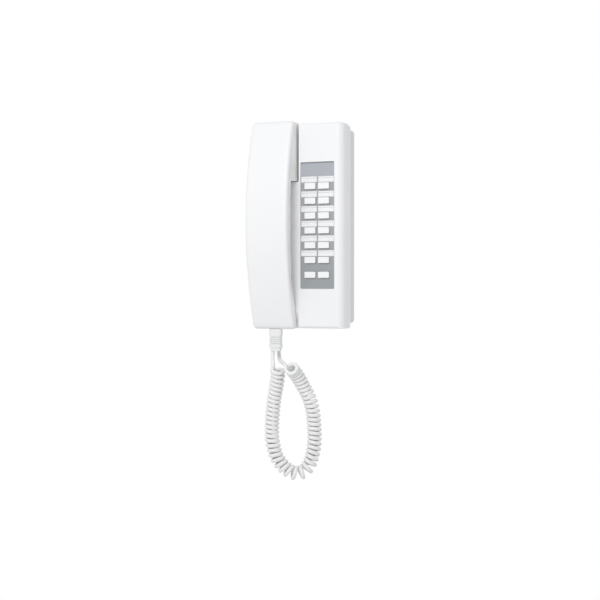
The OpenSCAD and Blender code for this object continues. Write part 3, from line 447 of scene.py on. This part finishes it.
def handset_shell(name, mat, front):
    """The handset's front shell, or its rear shell with the ear dish, the holes and the screw sinks."""
    shell = loft(name, handset_rings(0.0), mat)

    def drill(x, z, d0, d1, r0, r1, sides):
        combine(shell, bar("tool", x, z, d0, d1, r0, r1, mat, sides), "DIFFERENCE")

    combine(shell, loft("tool", handset_rings(SHELL), mat), "DIFFERENCE")
    if front:
        combine(shell, front_side("tool", 0.0, mat), "INTERSECT")
    else:
        combine(shell, front_side("tool", SPLIT_GAP, mat), "DIFFERENCE")
        drill(HANDSET_X, EAR_Z, EAR_DEPTH - PAST, EAR_DEPTH + SHELL / 2,
              EAR_D / 2 + EAR_DISH_OUT, EAR_D / 2 - EAR_DISH_IN, DISH_SIDES)
        holes = [(HANDSET_X, EAR_Z)]
        for ring in (1, 2):
            count, r = EAR_HOLES_A_RING * ring, EAR_HOLE_PITCH * ring
            for k in range(count):
                a = 2 * math.pi * k / count
                holes.append((HANDSET_X + r * math.cos(a), EAR_Z + r * math.sin(a)))
        for x, z in holes:
            drill(x, z, EAR_DEPTH - PAST, EAR_DEPTH + SHELL + PAST, EAR_HOLE_R, EAR_HOLE_R, EAR_HOLE_SIDES)
        back = rear(MIC_Z)
        for i in (-1, 0, 1):
            drill(HANDSET_X + MIC_HOLE_PITCH * i, MIC_Z, back - 2 * PAST, back + SHELL + PAST,
                  MIC_HOLE_R, MIC_HOLE_R, MIC_HOLE_SIDES)
        for z in SCREW_Z:
            back = rear(z)
            drill(HANDSET_X, z, back - 2 * PAST, back + SCREW_SINK, SCREW_SINK_R, SCREW_SINK_R, SCREW_SIDES)
    boot_depth = (rear(BOOT_FLANGE_Z) + bow(BOOT_FLANGE_Z)) / 2
    r = BOOT_HOLE_D / 2
    ring = [2 * math.pi * k / BOOT_HOLE_SIDES for k in range(BOOT_HOLE_SIDES)]
    ends = (BOTTOM - PAST, BOTTOM + SHELL + PAST)
    rings = [[(BOOT_X + r * math.cos(a), -boot_depth + r * math.sin(a), z) for a in ring] for z in ends]
    combine(shell, loft("tool", rings, mat), "DIFFERENCE")
    shell.data.shade_smooth()
    shell.data.set_sharp_from_angle(angle=math.radians(SHELL_ANGLE))
    return shell


shells = [
    (handset_shell("handset_front", looks["white_plastic"], True), "handset_front_shell"),
    (handset_shell("handset_rear", shell_white_painted_light, False), "handset_rear_shell"),
]
for shell, node in shells:
    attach(shell, "handset")
    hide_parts(node)


# Softer edges on the keys, the windows and the cord's boot, by a width in millimetres
def soften(node, width, segments=3):
    obj = nodes[node]
    weld = obj.modifiers.new("weld", "WELD")
    weld.merge_threshold = 0.00001
    bevel = obj.modifiers.new("bevel", "BEVEL")
    bevel.width = width * MM
    bevel.segments = segments
    bevel.limit_method = "ANGLE"
    bevel.angle_limit = math.radians(40.0)
    normals = obj.modifiers.new("normals", "WEIGHTED_NORMAL")
    normals.weight = 80


for node in nodes:
    if node.startswith(("call_key", "function_key")):
        soften(node, 0.6)
soften("cord_boot", 0.35)
soften("label_windows", 0.2, 2)


# The cord: the same route and curls as the solids, wound finer and a little thicker, in millimetres
PLACE = np.array([HANDSET_X, 0.0, BOTTOM])
CORD_D, CURL_D = 4.2, 16.4
JACKET_D = 4.4
CURLS, SPREAD, END_TURN, EASE = 49, 0.03, 0.625, 1.05
OPEN_FROM, OPEN_OVER, CLOSE_AT, CLOSE_OVER = 0.12, 0.2, 0.86, 0.18
ROUTE_STEPS, LEAD_STEPS, BEND_REACH, TURN_IN, TURN_STEPS = 8, 4, 3, 4.5, 9
RINGS, SIDES, CORD_ANGLE = 16, 12, 60.0
BOOT_END, BUSH_END = np.array([-32.6, -42.03, -138.0]), np.array([-39.0, -15.0, -116.0])
HANDSET_LEAD = np.vstack([BOOT_END, BOOT_END + (0, 0, -4), PLACE + np.array([
    (-3.2, -42.5, -31.5), (-3, -43, -33.5), (-2.5, -43.5, -35.5),
])])
BASE_LEAD = np.vstack([BUSH_END, BUSH_END + (0, 0, -5), PLACE + np.array([
    (-8.5, -16.5, -15.5), (-6.5, -20, -22.5), (-3.5, -24.5, -28.5), (-2, -27, -31.5),
])])
CURL_ROUTE = PLACE + np.array([
    (5.5, -48, -44.5), (4, -44.5, -52.5), (1, -42, -64.5), (-2.5, -40, -79.5), (-5, -39, -98.5),
    (-6, -38, -117.5), (-4.5, -37.4, -131), (0, -36.4, -144.5), (7.5, -34.7, -154), (16.5, -32.6, -159.8),
    (25.5, -30.5, -159.8), (33, -28.8, -154), (37.5, -27.3, -143), (39.5, -25.6, -131.5), (39.8, -24.5, -119),
    (39, -24, -105), (37.5, -24.5, -90.5), (34.5, -26.5, -77.5), (29.5, -31, -64.5), (26, -38.5, -53),
    (24, -46.5, -46), (24, -54, -42),
])


def unit(v):
    return v / np.linalg.norm(v)


def spline(route, count):
    """A smooth line through all points of a route, with a count of steps between each two."""
    p = np.array(route, float)
    q = np.vstack([2 * p[0] - p[1], p, 2 * p[-1] - p[-2]])
    points = []
    for i in range(len(p) - 1):
        a, b, c, d = q[i:i + 4]
        for k in range(count):
            t = k / count
            square, cube = (2 * a - 5 * b + 4 * c - d) * t * t, (3 * b - a - 3 * c + d) * t ** 3
            points.append((2 * b + (c - a) * t + square + cube) / 2)
    points.append(p[-1])
    return np.array(points)


def tangents(path):
    n = len(path) - 1
    return np.array([unit(path[min(i + 1, n)] - path[max(i - 1, 0)]) for i in range(n + 1)])


def across(v, along):
    return unit(v - along * (v @ along))


def transport(along, first):
    """Directions across a line, carried along it without twist."""
    side = [across(np.array(first, float), along[0])]
    for t in along[1:]:
        side.append(across(side[-1], t))
    return np.array(side)


def curl_helix():
    """The cable's middle line through all the curls."""
    axis = spline(CURL_ROUTE, ROUTE_STEPS)
    along = tangents(axis)
    side = transport(along, (-1, 0, 0))
    n = len(axis) - 1
    lengths = np.linalg.norm(np.diff(axis, axis=0), axis=1)
    run = np.concatenate([[0], np.cumsum(lengths)])
    r = (CURL_D - CORD_D) / 2
    weights = []
    for i in range(n):
        a, b = max(i - BEND_REACH, 0), min(i + BEND_REACH, n)
        bend = np.linalg.norm(along[b] - along[a]) / (run[b] - run[a])
        u = run[i] / run[n]
        opened, closing = smooth((u - OPEN_FROM) / OPEN_OVER), smooth((CLOSE_AT - u) / CLOSE_OVER)
        spacing = 1 + SPREAD * opened * closing
        weights.append(lengths[i] * (1 - EASE * r * bend) / spacing)
    turns = np.concatenate([[0], np.cumsum(weights)])
    turns *= (CURLS + END_TURN) / turns[-1]
    points = []
    for k in range(int((CURLS + END_TURN) * RINGS) + 1):
        at = min(np.interp(k / RINGS, turns, np.arange(n + 1)), n - 0.001)
        i = int(at)
        t = at - i
        forward = unit(along[i] + (along[i + 1] - along[i]) * t)
        out = across(side[i] + (side[i + 1] - side[i]) * t, forward)
        a = -2 * math.pi * k / RINGS
        centre = axis[i] + (axis[i + 1] - axis[i]) * t
        points.append(centre + r * (math.cos(a) * out + math.sin(a) * np.cross(forward, out)))
    return np.array(points)


def turn_in(start, heading, end, arriving):
    """The bend between a straight lead and a curl, without its two ends."""
    p1, p2 = start + heading * TURN_IN, end - arriving * TURN_IN
    points = []
    for i in range(1, TURN_STEPS):
        t = i / TURN_STEPS
        u = 1 - t
        points.append(u ** 3 * start + 3 * u ** 2 * t * p1 + 3 * u * t * t * p2 + t ** 3 * end)
    return np.array(points)


def lead(route):
    return np.vstack([[route[0]], spline(route[1:-1], LEAD_STEPS), [route[-1]]])


helix = curl_helix()
lead_a, lead_b = lead(HANDSET_LEAD), lead(BASE_LEAD)
down = unit(HANDSET_LEAD[-1] - HANDSET_LEAD[-2])
up = unit(BASE_LEAD[-2] - BASE_LEAD[-1])
a1 = lead_a[-1] + down * CORD_D
b1 = lead_b[-1] - up * CORD_D
first = unit(helix[1] - helix[0])
final = unit(helix[-1] - helix[-2])
into = turn_in(a1, down, helix[0], first)
cord_line = np.vstack([lead_a, [a1], into, helix, turn_in(helix[-1], final, b1, up), [b1], lead_b[::-1]])
helix_start = len(lead_a) + 1 + len(into)


def tube(name, path, d, sides, mat):
    """A closed round tube of diameter d along a path in millimetres."""
    along = tangents(path)
    out = transport(along, (1, 0, 0) if abs(along[0][0]) < 0.9 else (0, 1, 0))
    verts, faces = [], []
    for p, t, s in zip(path, along, out):
        b = np.cross(t, s)
        for k in range(sides):
            a = 2 * math.pi * k / sides
            verts.append((p + d / 2 * (math.cos(a) * s + math.sin(a) * b)) * MM)
    n = len(path)
    for i in range(n - 1):
        for k in range(sides):
            m = (k + 1) % sides
            faces.append((i * sides + k, i * sides + m, (i + 1) * sides + m, (i + 1) * sides + k))
    faces.append(tuple(reversed(range(sides))))
    faces.append(tuple((n - 1) * sides + k for k in range(sides)))
    return new_mesh(name, verts, faces, mat, CORD_ANGLE)


# Three stretches: the handset's leg, which is attached to the handset, and the other leg and its lead, which
# stay in place
low_cut = helix_start + int(np.argmin(helix[:, 2]))
base_cut = len(cord_line) - len(lead_b)
stretches = [
    ("cord_handset_leg", cord_line[:low_cut + 1]),
    ("cord_loop", cord_line[low_cut:base_cut + 1]),
    ("cord_base_lead", cord_line[base_cut:][::-1]),
]
cords = []
for name, path in stretches:
    piece = tube(name, path, JACKET_D, SIDES, looks["cord_jacket"])
    cords.append(piece)
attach(cords[0], "handset")
for piece in cords[1:]:
    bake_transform(piece)
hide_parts("handset_lead")
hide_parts("curly_cord")
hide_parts("base_lead")


# Stage: a pale floor well below the station, in metres
FLOOR_HALF, FLOOR_Z = 6, -0.62
floor_mat = bpy.data.materials.new("floor_pale")
floor_mat.use_nodes = True
tree = floor_mat.node_tree
tree.nodes.clear()
matt = tree.nodes.new("ShaderNodeBsdfDiffuse")
matt.inputs["Color"].default_value = (0.85, 0.85, 0.85, 1.0)
glow = tree.nodes.new("ShaderNodeEmission")
glow.inputs["Color"].default_value = WHITE
glow.inputs["Strength"].default_value = 1.0
mix = white_to_camera(tree, matt)
tree.links.new(glow.outputs[0], mix.inputs[2])
out = tree.nodes.new("ShaderNodeOutputMaterial")
tree.links.new(mix.outputs[0], out.inputs["Surface"])
corners = [(x * FLOOR_HALF, y * FLOOR_HALF, FLOOR_Z) for x, y in ((-1, -1), (1, -1), (1, 1), (-1, 1))]
floor = new_mesh("floor", corners, [(0, 1, 2, 3)], floor_mat, None)
